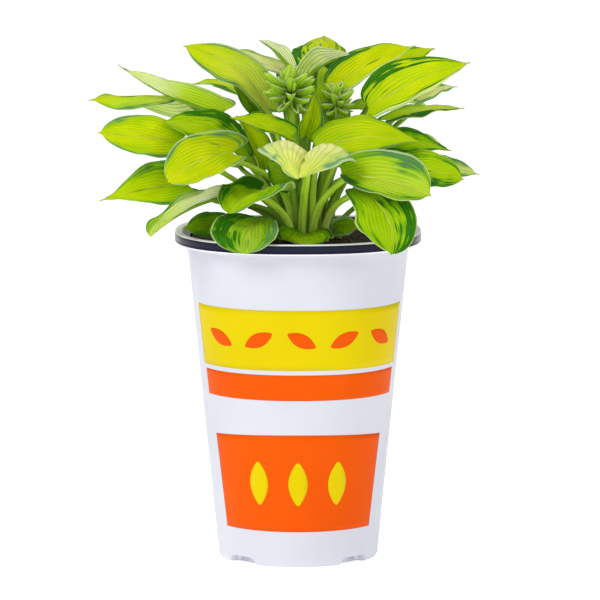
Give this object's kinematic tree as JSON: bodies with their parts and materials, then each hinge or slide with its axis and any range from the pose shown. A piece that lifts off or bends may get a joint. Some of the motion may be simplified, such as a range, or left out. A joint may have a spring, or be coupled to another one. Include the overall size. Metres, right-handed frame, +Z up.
{
  "type": "potted hosta plant",
  "caption": "Variegated hosta in a tapered round grower's pot, with arching yellow-green leaves edged dark green and a young flower head.",
  "frame": {"origin": "centre of the pot's flat underside", "axes": "+Z up along the pot's axis toward the leaves, -Y toward the viewer of the front, +X to the viewer's right"},
  "size_m": [0.254, 0.2031, 0.341],
  "materials": {
    "pot_plastic": "satin",
    "potting_mix": "matte",
    "leaf_tissue": "satin",
    "flower_bract": "satin"
  },
  "bodies": {
    "root": {"pot": "pot_plastic", "soil": "potting_mix", "flower_head_main": "flower_bract", "flower_head_side": "flower_bract", "leaf_01": "leaf_tissue", "leaf_02": "leaf_tissue", "leaf_03": "leaf_tissue", "leaf_04": "leaf_tissue", "leaf_05": "leaf_tissue", "leaf_06": "leaf_tissue", "leaf_07": "leaf_tissue", "leaf_08": "leaf_tissue", "leaf_09": "leaf_tissue", "leaf_10": "leaf_tissue", "leaf_11": "leaf_tissue", "leaf_12": "leaf_tissue", "leaf_13": "leaf_tissue", "leaf_14": "leaf_tissue", "leaf_15": "leaf_tissue", "leaf_16": "leaf_tissue", "leaf_17": "leaf_tissue", "leaf_18": "leaf_tissue", "leaf_19": "leaf_tissue", "leaf_20": "leaf_tissue", "leaf_21": "leaf_tissue", "leaf_22": "leaf_tissue", "leaf_23": "leaf_tissue", "leaf_24": "leaf_tissue", "leaf_25": "leaf_tissue", "leaf_26": "leaf_tissue", "leaf_27": "leaf_tissue", "leaf_28": "leaf_tissue", "leaf_29": "leaf_tissue", "leaf_30": "leaf_tissue", "leaf_31": "leaf_tissue", "leaf_32": "leaf_tissue", "leaf_33": "leaf_tissue", "leaf_34": "leaf_tissue", "leaf_35": "leaf_tissue", "leaf_36": "leaf_tissue", "leaf_37": "leaf_tissue", "leaf_38": "leaf_tissue", "leaf_39": "leaf_tissue", "leaf_40": "leaf_tissue", "leaf_41": "leaf_tissue", "leaf_42": "leaf_tissue", "leaf_43": "leaf_tissue"}
  },
  "joints": []
}
